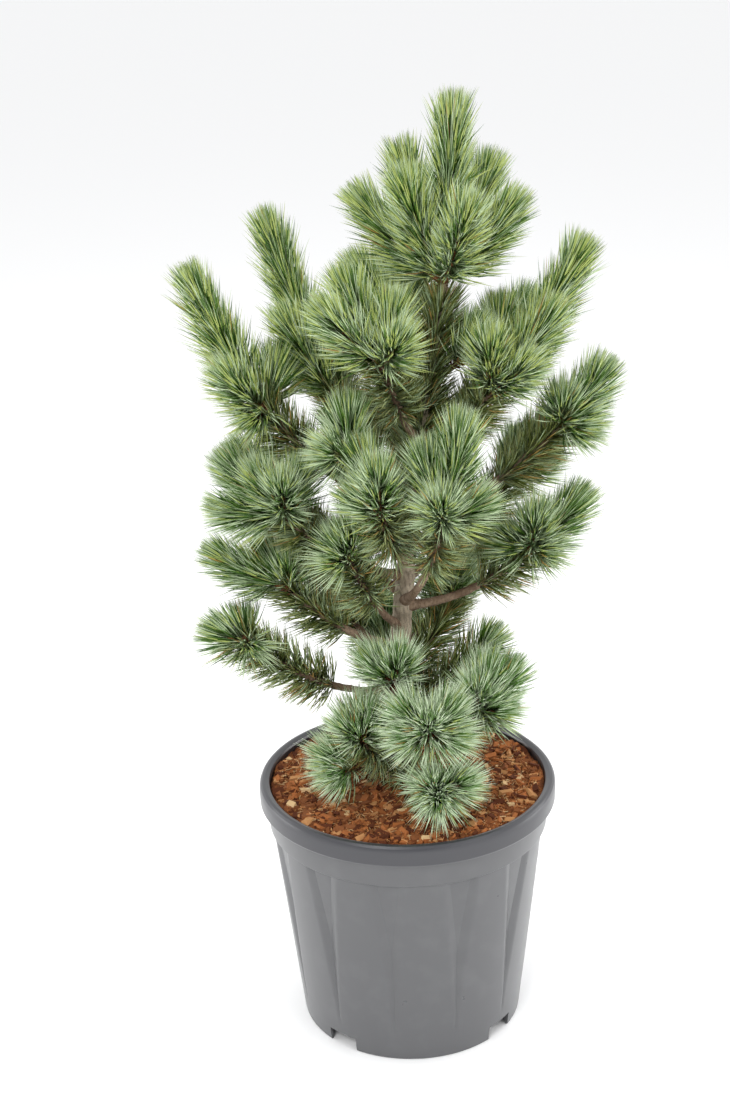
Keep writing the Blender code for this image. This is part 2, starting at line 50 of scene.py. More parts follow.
chance = random.Random(seed)
draws = np.random.default_rng(seed)
cm = 0.01
up = Vector((0.0, 0.0, 1.0))
goldenTurn = 2.39996  # radians from one fascicle or scale to the next round its twig
black = (0.0, 0.0, 0.0)
white = (1.0, 1.0, 1.0)
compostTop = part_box("compost")[1].z
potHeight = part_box("pot")[1].z


# Shader maths: a socket that is added, subtracted and multiplied like a number

class Socket:
    def __init__(self, paint, out):
        self.paint = paint
        self.out = out

    def maths(self, kind, first, second):
        return self.paint.node("ShaderNodeMath", {"operation": kind}, {0: first, 1: second})

    def __add__(self, other):
        return self.maths("ADD", self, other)

    def __radd__(self, other):
        return self.maths("ADD", other, self)

    def __sub__(self, other):
        return self.maths("SUBTRACT", self, other)

    def __rsub__(self, other):
        return self.maths("SUBTRACT", other, self)

    def __mul__(self, other):
        return self.maths("MULTIPLY", self, other)

    def __rmul__(self, other):
        return self.maths("MULTIPLY", other, self)


# A material's node tree, built one node at a time

class Paint:
    def __init__(self, name, colour, roughness, specular=0.5):
        self.material = bpy.data.materials.new(name)
        self.material.use_nodes = True
        self.tree = self.material.node_tree
        self.shader = self.tree.nodes["Principled BSDF"]
        self.shader.inputs["Base Color"].default_value = (*colour, 1.0)
        self.shader.inputs["Roughness"].default_value = roughness
        self.shader.inputs["Specular IOR Level"].default_value = specular

    def node(self, kind, settings=None, inputs=None, output=0):
        made = self.tree.nodes.new(kind)
        for key, value in (settings or {}).items():
            if key == "stops":
                self.stops(made.color_ramp, value)
            else:
                setattr(made, key, value)
        for key, value in (inputs or {}).items():
            self.feed(made.inputs[key], value)
        return Socket(self, made.outputs[output])

    def feed(self, socket, value):
        if isinstance(value, Socket):
            self.tree.links.new(value.out, socket)
        else:
            socket.default_value = value

    def stops(self, ramp, stops):
        while len(ramp.elements) < len(stops):
            ramp.elements.new(0.5)
        for element, (place, colour) in zip(ramp.elements, stops):
            element.position = place
            element.color = (*colour, 1.0)

    def place(self):
        return self.node("ShaderNodeTexCoord", output="Object")

    def noise(self, scale, detail=4.0, where=None):
        spots = {"Scale": scale, "Detail": detail, "Vector": where or self.place()}
        return self.node("ShaderNodeTexNoise", None, spots)

    def cells(self, scale, where=None):
        return self.node("ShaderNodeTexVoronoi", None, {"Scale": scale, "Vector": where or self.place()})

    def stretch(self, scale):
        return self.node("ShaderNodeMapping", None, {"Vector": self.place(), "Scale": scale})

    def ramp(self, value, stops):
        return self.node("ShaderNodeValToRGB", {"stops": stops}, {"Fac": value})

    def mask(self, value, low, high, most=1.0):
        # Nothing up to low, and from there it rises to most at high
        return self.ramp(value, ((low, black), (high, (most, most, most))))

    def mix(self, share, first, second):
        return self.node("ShaderNodeMix", {"data_type": "RGBA"}, {0: share, 6: first, 7: second}, 2)

    def colour(self, value):
        self.feed(self.shader.inputs["Base Color"], value)

    def roughness(self, value):
        self.feed(self.shader.inputs["Roughness"], value)

    def bump(self, height, strength, depth):
        values = {"Strength": strength, "Distance": depth, "Height": height}
        self.feed(self.shader.inputs["Normal"], self.node("ShaderNodeBump", None, values))


# Small helpers

def deselect():
    bpy.ops.object.select_all(action="DESELECT")


def pick(*items):
    deselect()
    for item in items:
        item.select_set(True)
    bpy.context.view_layer.objects.active = items[0]


def added(name, mesh):
    item = bpy.data.objects.new(name, mesh)
    bpy.context.scene.collection.objects.link(item)
    return item


def facedOut(item, merge=0.0):
    # Merges doubles where asked, then points all faces outwards
    pick(item)
    bpy.ops.object.mode_set(mode="EDIT")
    bpy.ops.mesh.select_all(action="SELECT")
    if merge:
        bpy.ops.mesh.remove_doubles(threshold=merge)
    bpy.ops.mesh.normals_make_consistent(inside=False)
    bpy.ops.object.mode_set(mode="OBJECT")


def shown(item, slotName, *nodes):
    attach(item, "root")
    if nodes:
        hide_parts(*nodes)
    return item


def heading(turn, rise):
    turn, rise = math.radians(turn), math.radians(rise)
    return Vector((math.cos(turn) * math.cos(rise), math.sin(turn) * math.cos(rise), math.sin(rise)))


# Camera: at the height of the crown, looking down on the pot, with the photo's slight roll
cameraSet = {"place": (-0.0364, -1.624, 1.125), "pitch": 20.41, "roll": -1.75, "lens": 57.67}


def addCamera():
    bpy.ops.object.camera_add(location=cameraSet["place"])
    camera = bpy.context.object
    pitch = Matrix.Rotation(math.radians(90 - cameraSet["pitch"]), 3, "X")
    roll = Matrix.Rotation(math.radians(cameraSet["roll"]), 3, "Z")
    camera.rotation_euler = (pitch @ roll).to_euler()
    camera.data.lens = cameraSet["lens"]
    camera.data.sensor_width = 36.0
    bpy.context.scene.camera = camera


# Studio: pale floor, large soft lamps and a surround that is white behind the plant and greyer
# on the side that the pot's front mirrors
studioSet = {
    "greySide": (0.38, 0.385, 0.395, 1.0), "whiteSide": (0.96, 0.965, 0.97, 1.0), "whiteFrom": 0.56,
    "strength": 1.15, "floorRadius": 40.0, "floorTint": (0.97, 0.97, 0.97), "aimHeight": 0.5,
}
lampSet = {
    "key": {"place": (-1.1, -2.5, 2.3), "size": 1.4, "watts": 52},
    "fill": {"place": (1.9, -1.8, 1.5), "size": 1.8, "watts": 26},
    "top": {"place": (0.2, 0.4, 3.0), "size": 2.2, "watts": 22},
    "left": {"place": (-2.3, 0.5, 0.6), "size": 1.2, "watts": 16},
    "right": {"place": (2.3, 0.5, 0.6), "size": 1.2, "watts": 18},
}


def addSurround():
    world = bpy.data.worlds.new("studio")
    bpy.context.scene.world = world
    world.use_nodes = True
    tree = world.node_tree
    background = tree.nodes["Background"]
    background.inputs["Strength"].default_value = studioSet["strength"]
    place = tree.nodes.new("ShaderNodeTexCoord")
    split = tree.nodes.new("ShaderNodeSeparateXYZ")
    shift = tree.nodes.new("ShaderNodeMath")
    shift.operation = "MULTIPLY_ADD"
    shift.inputs[1].default_value = shift.inputs[2].default_value = 0.5
    ramp = tree.nodes.new("ShaderNodeValToRGB")
    greySide, whiteSide = ramp.color_ramp.elements
    greySide.position = 0.0
    greySide.color = studioSet["greySide"]
    whiteSide.position = studioSet["whiteFrom"]
    whiteSide.color = studioSet["whiteSide"]
    tree.links.new(place.outputs["Generated"], split.inputs[0])
    tree.links.new(split.outputs["Y"], shift.inputs[0])
    tree.links.new(shift.outputs[0], ramp.inputs["Fac"])
    tree.links.new(ramp.outputs["Color"], background.inputs["Color"])
    bpy.context.scene.view_settings.view_transform = "Standard"


def addStudio():
    addSurround()
    bpy.ops.mesh.primitive_circle_add(vertices=96, radius=studioSet["floorRadius"], fill_type="NGON")
    floor = bpy.context.object
    floor.name = "floor"
    floor.data.materials.append(Paint("floorPaper", studioSet["floorTint"], 0.85, 0.1).material)
    aim = up * studioSet["aimHeight"]
    for name, lamp in lampSet.items():
        bpy.ops.object.light_add(type="AREA", location=lamp["place"])
        light = bpy.context.object
        light.name = name
        light.data.size = lamp["size"]
        light.data.energy = lamp["watts"]
        light.rotation_euler = (aim - light.location).to_track_quat("-Z", "Y").to_euler()


# The tree's habit, by the same rule as its solids. Heights and lengths are in centimetres,
# radii in millimetres, and a turn of 270 points towards the viewer.
Bough = namedtuple("Bough", "height turn rise length bare radius old shoots")

trunkSet = {
    "foot": Vector((-0.009, 0.006, compostTop)), "height": 0.504, "lean": 0.053, "power": 1.8,
    "radius": 0.0125, "tip": 0.0045, "flare": 0.0190, "flareHeight": 0.030,
}
boughSet = {"sag": 0.10, "tip": 0.72, "shootSag": 0.05, "ahead": 0.034, "shortest": 0.011}
eighths = [k / 8 for k in range(9)]

boughs = {
    "high_left": Bough(28.5, 187, 40, 18.0, 0.52, 5.0, 5, (
        (172, 62, 16.0), (220, 42, 8.5), (65, 61, 7.0), (246, -12, 5.5))),
    "high_back_left": Bough(31.0, 148, 44, 12.0, 0.50, 4.5, 3, (
        (157, 68, 20.0), (208, 58, 12.0), (97, 66, 10.0))),
    "high_front": Bough(36.0, 242, 51, 12.0, 0.45, 4.5, 4, (
        (180, 68, 10.5), (213, 44, 10.5), (323, 76, 8.0), (291, 36, 8.0))),
    "high_right": Bough(34.5, 347, 43, 10.0, 0.45, 5.0, 3, (
        (22, 52, 17.5), (351, 52, 11.5), (70, 60, 10.0), (261, 56, 9.0), (310, 33, 8.0))),
    "right": Bough(27.8, 2, 32, 17.5, 0.55, 5.0, 5, (
        (0, 51, 8.5), (262, 59, 6.0), (314, -4, 5.5), (42, 12, 6.0))),
    "low_right": Bough(18.8, 348, 27, 14.5, 0.55, 4.5, 4, (
        (0, 48, 9.0), (271, 59, 7.5), (198, 20, 6.0), (302, 5, 5.0))),
    "front": Bough(19.4, 286, 44, 18.0, 0.60, 4.5, 5, (
        (334, 79, 11.5), (200, 74, 9.0), (262, 36, 8.0), (336, 32, 6.5))),
    "front_left": Bough(23.8, 258, 36, 14.5, 0.50, 4.5, 5, (
        (170, 74, 8.5), (208, 41, 6.0), (262, 58, 8.5))),
    "left": Bough(22.0, 202, 34, 15.0, 0.50, 4.5, 5, (
        (180, 46, 9.5), (224, 56, 8.0), (337, 67, 7.0), (202, 12, 8.5), (272, 45, 8.5))),
    "low_left": Bough(14.4, 192, 34, 13.5, 0.45, 4.5, 5, (
        (187, 29, 10.0), (149, 53, 6.5), (284, 69, 6.0))),
    "lowest_left": Bough(9.4, 202, 28, 18.0, 0.40, 4.0, 5, (
        (192, 22, 5.5), (125, 53, 4.5), (289, 0, 4.5))),
    "inner_front_left": Bough(16.5, 233, 50, 13.0, 0.45, 4.0, 3, (
        (209, 63, 5.0), (297, 59, 6.5), (232, 11, 5.0))),
    "inner_left": Bough(26.2, 237, 48, 15.0, 0.0, 3.5, 4, (
        (180, 86, 6.5), (232, 20, 6.0))),
    "inner_right": Bough(10.5, 36, 46, 10.0, 0.0, 3.5, 3, (
        (158, 50, 5.0), (25, 57, 5.0), (290, 64, 7.5))),
    "lower_right": Bough(8.0, 6, 31, 9.0, 0.0, 3.2, 3, (
        (0, 46, 5.0), (316, -8, 5.0))),
    "lowest_right": Bough(3.6, 330, 30, 11.0, 0.50, 3.5, 4, (
        (0, 53, 7.5), (314, 79, 7.5), (253, 54, 7.5), (317, 17, 5.5))),
    "lowest_front": Bough(4.2, 286, 27, 11.5, 0.45, 3.5, 0, (
        (268, 42, 7.0), (316, 50, 7.0), (214, 48, 7.0), (318, 6, 6.0), (226, 6, 6.0))),
    "foot_left": Bough(2.4, 236, 32, 8.0, 0.0, 3.2, 2, (
        (267, 80, 6.0), (228, 48, 6.0), (305, 62, 7.0))),
    "foot_front_left": Bough(1.2, 228, 18, 7.0, 0.0, 3.0, 0, (
        (212, 35, 6.5), (232, 8, 6.0))),
    "foot_front": Bough(1.3, 292, 9, 10.0, 0.0, 3.0, 2, (
        (318, 26, 6.5), (268, 2, 6.5), (248, 34, 6.0))),
    "inner_low": Bough(9.6, 262, 30, 4.5, 0.0, 3.0, 0, (
        (212, 52, 7.0), (288, 60, 7.0))),
    "high_back": Bough(37.0, 104, 48, 12.0, 0.45, 4.5, 4, (
        (92, 58, 11.0), (50, 46, 9.0), (150, 50, 9.0))),
    "back_left": Bough(30.0, 124, 34, 15.0, 0.50, 4.5, 5, (
        (134, 56, 10.0), (180, 40, 8.0), (92, 46, 8.0))),
    "back_right": Bough(32.0, 44, 36, 14.5, 0.50, 4.5, 5, (
        (42, 54, 10.0), (4, 38, 8.0), (84, 48, 8.5))),
    "back": Bough(24.5, 88, 32, 14.5, 0.50, 4.5, 5, (
        (94, 48, 9.0), (50, 30, 7.5), (138, 32, 7.5), (270, 80, 7.0))),
    "mid_back_left": Bough(20.5, 150, 28, 15.5, 0.50, 4.5, 5, (
        (152, 44, 9.0), (196, 24, 6.5), (112, 30, 7.5))),
    "mid_back_right": Bough(22.0, 36, 28, 15.5, 0.50, 4.5, 5, (
        (30, 46, 9.0), (350, 26, 6.5), (72, 30, 7.5))),
    "low_back_left": Bough(12.5, 128, 26, 14.0, 0.45, 4.0, 5, (
        (134, 40, 8.0), (90, 34, 7.0), (176, 24, 6.5))),
    "low_back_right": Bough(14.0, 56, 24, 14.0, 0.45, 4.0, 5, (
        (52, 40, 8.0), (96, 30, 7.0), (12, 24, 6.5))),
    "lowest_back": Bough(5.0, 94, 26, 11.0, 0.45, 3.5, 4, (
        (96, 44, 7.5), (46, 26, 6.5), (146, 26, 6.5))),
    "upper_trunk": Bough(43.0, 200, 30, 3.0, 0.0, 3.0, 0, (
        (206, 58, 6.5), (150, 40, 6.0))),
    "upper_trunk_right": Bough(42.0, 350, 30, 3.0, 0.0, 3.0, 0, (
        (338, 58, 6.5), (60, 40, 6.0))),
    "crown": Bough(50.4, 0, 89, 0.9, 0.0, 3.8, 0, (
        (0, 86, 18.0), (121, 59, 15.0), (44, 56, 14.0), (219, 65, 13.0), (170, 45, 13.0),
        (286, 48, 13.0), (349, 47, 12.0))),
}
# Low rosettes near the pot are bluer and also painted paler, as painted light for the front light on them,
# and the crown's shoots have lime tips
blueLitMasses = ("lowest_front", "foot_front", "foot_left", "foot_front_left", "lowest_right", "inner_low")
limeMasses = ("crown", "high_back_left", "high_left", "high_front", "high_right", "high_back")


def trunkPoint(height):
    share = min(1.0, height / trunkSet["height"])
    return trunkSet["foot"] + Vector((trunkSet["lean"] * share ** trunkSet["power"], 0.0, height))


def trunkRadius(height):
    share = height / trunkSet["height"]
    radius = trunkSet["radius"] + (trunkSet["tip"] - trunkSet["radius"]) * share
    flare = max(0.0, 1 - height / trunkSet["flareHeight"]) ** 2
    return radius + (trunkSet["flare"] - trunkSet["radius"]) * flare


def boughPoint(bough, share):
    length = bough.length * cm
    run = heading(bough.turn, bough.rise) * length
    sag = boughSet["sag"] * length * 4 * share * (1 - share)
    return trunkPoint(bough.height * cm) + run * share - up * sag


def boughRadius(bough, share):
    return bough.radius / 1000 * (1 + (boughSet["tip"] - 1) * share)


def shootLine(whorl, turn, rise, length):
    stem = max(length * cm - boughSet["ahead"], boughSet["shortest"])
    run = heading(turn, rise) * stem
    sag = boughSet["shootSag"] * stem * 4
    return [whorl + run * share - up * (sag * share * (1 - share)) for share in eighths]


# Bark: limbs are bevelled curves made into meshes, then worked over with displacement

def limbCurve(name, points, radii, sides):
    bpy.ops.curve.primitive_nurbs_path_add()
    limb = bpy.context.object
    limb.name = name
    limb.data.splines.clear()
    limb.data.bevel_depth = 1.0
    limb.data.bevel_resolution = sides
    limb.data.use_fill_caps = True
    spline = limb.data.splines.new("POLY")
    spline.points.add(len(points) - 1)
    for knot, point, radius in zip(spline.points, points, radii):
        knot.co = (*point, 1.0)
        knot.radius = radius
    return limb


def joined(name, limbs):
    pick(*limbs)
    bpy.ops.object.convert(target="MESH")
    if len(limbs) > 1:
        bpy.ops.object.join()
    made = bpy.context.object
    made.name = name
    made.data.name = name
    bpy.ops.object.transform_apply(location=True, rotation=True, scale=True)
    facedOut(made, 0.00002)
    bpy.ops.object.shade_smooth()
    return made


def roughen(item, *layers):
    # Each layer of relief is a name, the size of its grain and its depth
    for name, size, strength in layers:
        texture = bpy.data.textures.new(name, "CLOUDS")
        texture.noise_scale = size
        bark = item.modifiers.new(name, "DISPLACE")
        bark.texture = texture
        bark.texture_coords = "LOCAL"
        bark.strength = strength
        bark.mid_level = 0.5
    pick(item)
    for name, size, strength in layers:
        bpy.ops.object.modifier_apply(modifier=name)


barkSet = {
    "trunkStep": 0.0016, "trunkSides": 16, "boughStep": 0.0035, "boughSides": 5,
    "collar": 0.007, "collarSwell": 0.7, "endSwell": 1.25, "knot": 0.0007, "knotReach": 0.006,
    "sunk": 0.002,
}
# Each bark's pale ground, darker patches and flecks
barkTints = {
    "trunkBark": ((0.46, 0.385, 0.29), (0.29, 0.235, 0.17), (0.07, 0.055, 0.04)),
    "boughBark": ((0.27, 0.19, 0.13), (0.15, 0.095, 0.06), (0.05, 0.03, 0.02)),
}


def barkPaint(name):
    pale, dark, fleck = barkTints[name]
    paint = Paint(name, pale, 0.85, 0.25)
    along = paint.stretch((1.0, 1.0, 0.35))
    patches = paint.noise(60.0, 5.0)
    fine = paint.noise(420.0, 4.0, along)
    flecks = paint.cells(330.0, paint.stretch((1.0, 1.0, 1.9)))
    base = paint.mix(paint.mask(patches, 0.38, 0.62), (*pale, 1), (*dark, 1))
    base = paint.mix(paint.mask(fine, 0.45, 0.75, 0.8), base, (*fleck, 1))
    spots = paint.ramp(flecks, ((0.10, white), (0.22, black)))
    paint.colour(paint.mix(spots * 0.75, base, (*fleck, 1)))
    paint.bump(fine + flecks, 0.5, 0.0006)
    return paint.material


def makeTrunk():
    steps = int(trunkSet["height"] / barkSet["trunkStep"])
    heights = [trunkSet["height"] * k / steps for k in range(steps + 1)]
    radii = [trunkRadius(height) for height in heights]
    for bough in boughs.values():
        for k, height in enumerate(heights):
            reach = (height - bough.height * cm) / barkSet["knotReach"]
            radii[k] += barkSet["knot"] * math.exp(-reach * reach) * (bough.radius / 5.0)
    line = [trunkPoint(height) for height in heights]
    trunk = joined("trunkBark", [limbCurve("trunkBark", line, radii, barkSet["trunkSides"])])
    roughen(trunk, ("plates", 0.010, 0.0016), ("scales", 0.0025, 0.0012))
    for vertex in trunk.data.vertices:
        vertex.co.z = max(vertex.co.z, compostTop - barkSet["sunk"])
    trunk.data.materials.append(barkPaint("trunkBark"))
    shown(trunk, "bark", "trunk")


def makeBoughs():
    limbs = []
    names = []
    for name, bough in boughs.items():
        steps = max(4, int(bough.length * cm / barkSet["boughStep"]))
        shares = [k / steps for k in range(steps + 1)]
        radii = []
        for share in shares:
            past = max(0.0, share * bough.length * cm - trunkRadius(bough.height * cm))
            swell = 1 + barkSet["collarSwell"] * math.exp(-past / barkSet["collar"])
            radii.append(boughRadius(bough, share) * swell)
        radii[-1] *= barkSet["endSwell"]
        line = [boughPoint(bough, share) for share in shares]
        limbs.append(limbCurve("limb", line, radii, barkSet["boughSides"]))
        if bough.bare:
            names.append("bough_" + name)
    bark = joined("boughBark", limbs)
    roughen(bark, ("knots", 0.008, 0.0018), ("grain", 0.002, 0.0009))
    bark.data.materials.append(barkPaint("boughBark"))
    shown(bark, "bark", *names)


def spottedPaint(name, colour, roughness, specular, scale, detail, pale, dark):
    paint = Paint(name, colour, roughness, specular)
    spots = paint.mask(paint.noise(scale, detail), 0.35, 0.65)
    paint.colour(paint.mix(spots, (*pale, 1), (*dark, 1)))
    return paint.material


# Young shoots: thin orange-brown stems inside the brushes
shootSet = {"foot": 0.0026, "end": 0.0016, "sides": 1, "pale": (0.36, 0.16, 0.06), "dark": (0.14, 0.06, 0.03)}


def makeShoots(massNodes):
    limbs = []
    radii = [shootSet["foot"] + (shootSet["end"] - shootSet["foot"]) * share for share in eighths]
    for bough in boughs.values():
        whorl = boughPoint(bough, 1.0)
        for shoot in bough.shoots:
            limbs.append(limbCurve("shoot", shootLine(whorl, *shoot), radii, shootSet["sides"]))
    shoots = joined("youngShoots", limbs)
    roughen(shoots, ("budScars", 0.003, 0.0008))
    shoots.data.materials.append(spottedPaint("youngBark", (0.30, 0.13, 0.05), 0.7, 0.3, 300.0, 4.0,
                                              shootSet["pale"], shootSet["dark"]))
    shown(shoots, "bark", *massNodes)


# Needles grow in fives. One needle is a three-sided blade with one bend: its outer side is
# green and its two inner sides carry the blue-white bloom.
needleSet = {
    "five": 5, "width": 0.00125, "root": 0.0008, "shortest": 0.018, "probe": 0.004, "mostInPiece": 18500,
    "besidePot": 0.160, "overPot": 0.002, "trunkFrom": 0.27, "trunkStep": 0.02, "trunkSteps": 12,
    "endGap": 0.0005,
}
# How far needles differ from their kind: leans in degrees, turns in radians, the rest as shares
spread = {
    "turn": 0.3, "lean": 5.0, "endLean": 4, "size": (0.88, 1.05), "reach": (0.92, 1.08), "fanLean": 7,
    "fanTurn": 0.13, "fanSize": (0.93, 1.03), "curl": (0.5, 1.3), "roll": 1.9, "width": (0.85, 1.15),
}
# How each kind grows: its length, thickness, fascicles per centimetre, lean in degrees at the foot
# and the end of its twig, bare share of the twig, fascicles at the end, reach past it, and curl
Growth = namedtuple("Growth", "length thin perCm leans bare ahead reach curl")
growths = {
    "fresh": Growth(0.049, 1.0, 19, (44, 18), 0.12, 18, boughSet["ahead"], 0.10),
    "old": Growth(0.044, 0.9, 17, (58, 42), 0.06, 0, 0.0, 0.05),
    "trunk": Growth(0.044, 0.9, 26, (62, 34), 0.0, 0, 0.0, 0.05),
}
# The blue tints are bluer than the fresh ones and also paler, painted light on the low rosettes
tints = {
    "freshOuter": (0.070, 0.155, 0.016), "freshInner": (0.55, 0.67, 0.42), "limeTip": (0.42, 0.50, 0.14),
    "blueOuter": (0.100, 0.210, 0.045), "blueInner": (0.66, 0.78, 0.54), "deepOuter": (0.032, 0.085, 0.010),
    "greyInner": (0.36, 0.47, 0.26), "oldOuter": (0.100, 0.125, 0.016), "oldInner": (0.34, 0.38, 0.15),
    "darkOuter": (0.040, 0.062, 0.010), "straw": (0.42, 0.25, 0.07),
}
tintIndex = {name: k for k, name in enumerate(tints)}
# How each kind of mass is coloured: its outer and inner tints with the second tint of each, its
# tip, the shares of pale tips and of straw, and how often the second tint is taken
Tone = namedtuple("Tone", "outer inner tip tipShare strawShare patch")
tones = {
    "blue": Tone(("blueOuter", "freshOuter"), ("blueInner", "greyInner"), "limeTip", 0.06, 0.01, 0.3),
    "lime": Tone(("freshOuter", "deepOuter"), ("freshInner", "greyInner"), "limeTip", 0.38, 0.004, 0.3),
    "green": Tone(("freshOuter", "deepOuter"), ("freshInner", "greyInner"), "limeTip", 0.16, 0.008, 0.4),
    "old": Tone(("oldOuter", "darkOuter"), ("oldInner", "greyInner"), "oldOuter", 0.2, 0.05, 0.45),
}


def tintMaterials():
    made = []
    for name, colour in tints.items():
        glossy = 0.42 if "Outer" in name else 0.6
        made.append(Paint("needle_" + name, colour, glossy, 0.4).material)
    return made


def unit(rows):
    return rows / np.linalg.norm(rows, axis=1)[:, None]


def twigFascicles(line, growth):
    # One row a fascicle: where it sits, its twig's direction, the outward side, lean and length
    points = np.array([tuple(point) for point in line])
    runs = np.linalg.norm(np.diff(points, axis=0), axis=1)
    marks = np.concatenate([[0], runs.cumsum()])
    total = runs.sum()
    bare, ahead, probe = growth.bare, growth.ahead, needleSet["probe"]

    def along(ways):
        return np.stack([np.interp(ways, marks, points[:, k]) for k in range(3)], 1)

    count = max(6, int(total * (1 - bare) / cm * growth.perCm))
    ways = total * (bare + (1 - bare) * (np.arange(count) + draws.uniform(0, 1, count)) / count)
    if ahead:
        ways = np.concatenate([ways, np.full(ahead, total - needleSet["endGap"])])
    late = np.clip(ways + probe, 0, total)
    axis = unit(along(late) - along(late - probe))
    side = unit(np.cross(axis, [0.31, 0.17, 0.94]))
    other = np.cross(axis, side)
    spin = np.arange(len(ways)) * goldenTurn + draws.uniform(-spread["turn"], spread["turn"], len(ways))
    outward = side * np.cos(spin)[:, None] + other * np.sin(spin)[:, None]
    share = np.clip((ways / total - bare) / (1 - bare), 0, 1)
    first, last = growth.leans
    lean = np.radians(first + (last - first) * share + draws.normal(0, spread["lean"], len(ways)))
    if ahead:
        lean[-ahead:] = np.radians(draws.uniform(0, last + spread["endLean"], ahead))
    size = growth.length * draws.uniform(*spread["size"], len(ways))
    if growth.reach:
        room = (total + growth.reach * draws.uniform(*spread["reach"], len(ways)) - ways) / np.cos(lean)
        size = np.minimum(size, np.maximum(room, needleSet["shortest"]))
    return along(ways), axis, outward, lean, size


def grown(line, growth):
    # Five needles a fascicle, fanned about its direction, then bent forwards along the shoot
    place, axis, outward, lean, size = twigFascicles(line, growth)
    five = needleSet["five"]
    place, axis, outward = (np.repeat(a, five, 0) for a in (place, axis, outward))
    lean, size = np.repeat(lean, five), np.repeat(size, five)
    count = len(lean)
    lean = lean + draws.normal(0, math.radians(spread["fanLean"]), count)
    across = np.cross(axis, outward)
    swing = draws.normal(0, spread["fanTurn"], count)[:, None]
    outward = outward * np.cos(swing) + across * np.sin(swing)
    size = size * draws.uniform(*spread["fanSize"], count)

    def aimed(angle):
        return axis * np.cos(angle)[:, None] + outward * np.sin(angle)[:, None]

    root = place + outward * needleSet["root"]
    bend = growth.curl * draws.uniform(*spread["curl"], count)
    middle = root + aimed(lean + bend) * (size * 0.5)[:, None]
    tip = middle + aimed(lean - bend) * (size * 0.5)[:, None]
    run = unit(tip - root)
    spin = draws.uniform(-spread["roll"], spread["roll"], count)
    across = unit(np.cross(run, outward))
    face = np.cross(across, run)
    back = face * np.cos(spin)[:, None] + across * np.sin(spin)[:, None]
    wing = np.cross(run, back)
    half = needleSet["width"] * growth.thin / 2 * draws.uniform(*spread["width"], count)[:, None]
    corners = (back * 0.45 * half + wing * half, back * 0.45 * half - wing * half, -back * 0.75 * half)
    points = np.empty((count, needleCorners, 3))
    for k, corner in enumerate(corners):
        points[:, k] = root + corner * 0.75
        points[:, k + 3] = middle + corner
    points[:, needleTip] = tip
    return points


# A needle has three corners at its root, three at its middle and its tip. Each face's corners, and
# which faces are its outer side and its tip half
needleCorners = 7
needleTip = 6
needleFaces = np.array([(0, 3, 4), (0, 4, 1), (1, 4, 5), (1, 5, 2), (2, 5, 3), (2, 3, 0),
                        (3, 6, 4), (4, 6, 5), (5, 6, 3), (0, 1, 2)])
outerFaces = np.array([1, 1, 0, 0, 0, 0, 1, 0, 0, 0], bool)
tipFaces = np.array([0, 0, 0, 0, 0, 0, 1, 1, 1, 0], bool)


def needlePiece(name, sprays, nodes, materials):
    points = np.concatenate([needles for needles, faceTints in sprays])
    faceTints = np.concatenate([faceTints for needles, faceTints in sprays])
    starts = np.arange(len(points))[:, None, None] * needleCorners
    faces = (needleFaces[None] + starts).reshape(-1, 3)
    mesh = bpy.data.meshes.new(name)
    mesh.vertices.add(len(points) * needleCorners)
    mesh.vertices.foreach_set("co", points.reshape(-1).astype(np.float32))
    mesh.loops.add(len(faces) * 3)
    mesh.loops.foreach_set("vertex_index", faces.reshape(-1).astype(np.int32))
    mesh.polygons.add(len(faces))
    mesh.polygons.foreach_set("loop_start", np.arange(0, len(faces) * 3, 3, dtype=np.int32))
    mesh.polygons.foreach_set("material_index", faceTints.reshape(-1).astype(np.int32))
    for material in materials:
        mesh.materials.append(material)
    mesh.update(calc_edges=True)
    mesh.validate()
    shown(added(name, mesh), "needles", *nodes)
    print(name, "needles:", len(points))


def tinted(count, tone):
    # Each needle takes one outer and one inner tint, some take a pale tip and a few are straw
    def dealt(pair):
        first, second = pair
        return np.where(draws.random(count) < tone.patch, tintIndex[second], tintIndex[first])

    outer = dealt(tone.outer)
    inner = dealt(tone.inner)
    faces = np.where(outerFaces[None], outer[:, None], inner[:, None])
    pale = draws.random(count) < tone.tipShare
    faces = np.where(pale[:, None] & tipFaces[None], tintIndex[tone.tip], faces)
    dead = draws.random(count) < tone.strawShare
    return np.where(dead[:, None], tintIndex["straw"], faces)


def spray(points, tone):
    # Leaves out the needles that would end in the compost or the pot's wall, and tints the rest
    tips = points[:, needleTip]
    beside = np.hypot(tips[:, 0], tips[:, 1]) > needleSet["besidePot"]
    over = tips[:, 2] > potHeight + needleSet["overPot"]
    points = points[over | beside]
    return points, tinted(len(points), tone)


def massNeedles(name, bough):
    whorl = boughPoint(bough, 1.0)
    fresh = [grown(shootLine(whorl, *shoot), growths["fresh"]) for shoot in bough.shoots]
    old = []
    if bough.old:
        line = [boughPoint(bough, bough.bare + (1 - bough.bare) * share) for share in eighths]
        old.append(grown(line, growths["old"]))
    if name == "crown":
        steps = range(needleSet["trunkSteps"])
        line = [trunkPoint(needleSet["trunkFrom"] + needleSet["trunkStep"] * k) for k in steps]
        old.append(grown(line, growths["trunk"]))
    return np.concatenate(fresh), (np.concatenate(old) if old else None)


